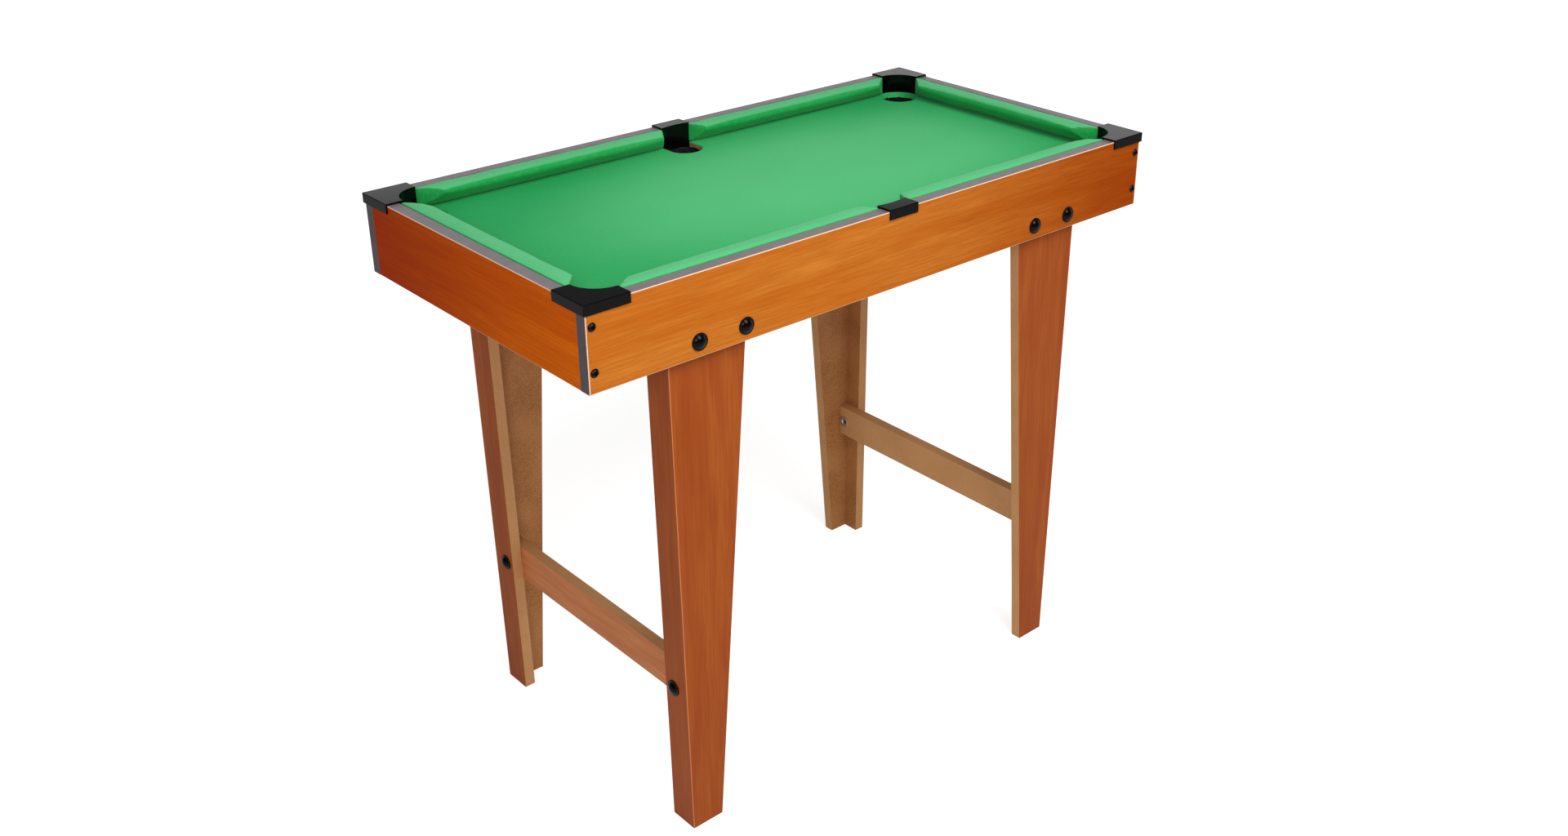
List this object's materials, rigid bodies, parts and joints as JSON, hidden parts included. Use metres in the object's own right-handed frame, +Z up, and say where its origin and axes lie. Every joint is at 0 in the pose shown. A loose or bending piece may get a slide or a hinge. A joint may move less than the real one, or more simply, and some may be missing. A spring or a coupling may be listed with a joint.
{
  "type": "billiard table",
  "caption": "Small free-standing billiard table: cloth-covered bed between cushioned rails with pockets, on tapered L-shaped legs joined by stretchers.",
  "frame": {"origin": "on the floor under the middle of the table", "axes": "+X along the table's length, +Y across it from the front long side to the back one, +Z up"},
  "size_m": [0.6936, 0.3646, 0.578],
  "materials": {
    "apron_foil": "warm orange wood-grain foil over board, satin, grain along each board",
    "leg_foil": "reddish wood-grain foil over board, satin, grain up the leg; raw board on the inner faces",
    "raw_board": "bare fibreboard, matt, fine speckle",
    "edge_band": "grey plastic edge band, satin",
    "green_cloth": "green napped playing cloth",
    "pocket_cap_plastic": "black moulded plastic, satin gloss",
    "bolt_cap_plastic": "black moulded plastic, glossy",
    "black_net": "black knotted net",
    "black_steel": "blackened steel, semi-gloss",
    "nickel_steel": "nickel-plated steel"
  },
  "bodies": {
    "root": {"apron_back": "apron_foil", "apron_front": "apron_foil", "apron_left": "apron_foil", "apron_right": "apron_foil", "apron_screws": "black_steel", "bed_board": "raw_board", "bed_cleat_back_left": "raw_board", "bed_cleat_back_right": "raw_board", "bed_cleat_front_left": "raw_board", "bed_cleat_front_right": "raw_board", "bed_cleat_left": "raw_board", "bed_cleat_right": "raw_board", "bed_cloth": "green_cloth", "corner_cap_back_left": "pocket_cap_plastic", "corner_cap_back_right": "pocket_cap_plastic", "corner_cap_front_left": "pocket_cap_plastic", "corner_cap_front_right": "pocket_cap_plastic", "cushion_back_left": "green_cloth", "cushion_back_right": "green_cloth", "cushion_front_left": "green_cloth", "cushion_front_right": "green_cloth", "cushion_left": "green_cloth", "cushion_right": "green_cloth", "cushion_strip_back_left": "raw_board", "cushion_strip_back_right": "raw_board", "cushion_strip_front_left": "raw_board", "cushion_strip_front_right": "raw_board", "cushion_strip_left": "raw_board", "cushion_strip_right": "raw_board", "end_edge_bands": "edge_band", "leg_bolt_caps": "bolt_cap_plastic", "leg_bolt_nuts": "nickel_steel", "leg_bolts": "nickel_steel", "leg_side_panel_back_left": "leg_foil", "leg_side_panel_back_right": "leg_foil", "leg_side_panel_front_left": "leg_foil", "leg_side_panel_front_right": "leg_foil", "leg_wide_panel_back_left": "leg_foil", "leg_wide_panel_back_right": "leg_foil", "leg_wide_panel_front_left": "leg_foil", "leg_wide_panel_front_right": "leg_foil", "middle_cap_back": "pocket_cap_plastic", "middle_cap_front": "pocket_cap_plastic", "pocket_bag_back_left": "black_net", "pocket_bag_back_right": "black_net", "pocket_bag_front_left": "black_net", "pocket_bag_front_right": "black_net", "pocket_bag_middle_back": "black_net", "pocket_bag_middle_front": "black_net", "stretcher_bolt_caps": "bolt_cap_plastic", "stretcher_bolt_nuts": "nickel_steel", "stretcher_bolts": "nickel_steel", "stretcher_left": "leg_foil", "stretcher_right": "leg_foil", "top_edge_bands": "edge_band"}
  },
  "joints": []
}
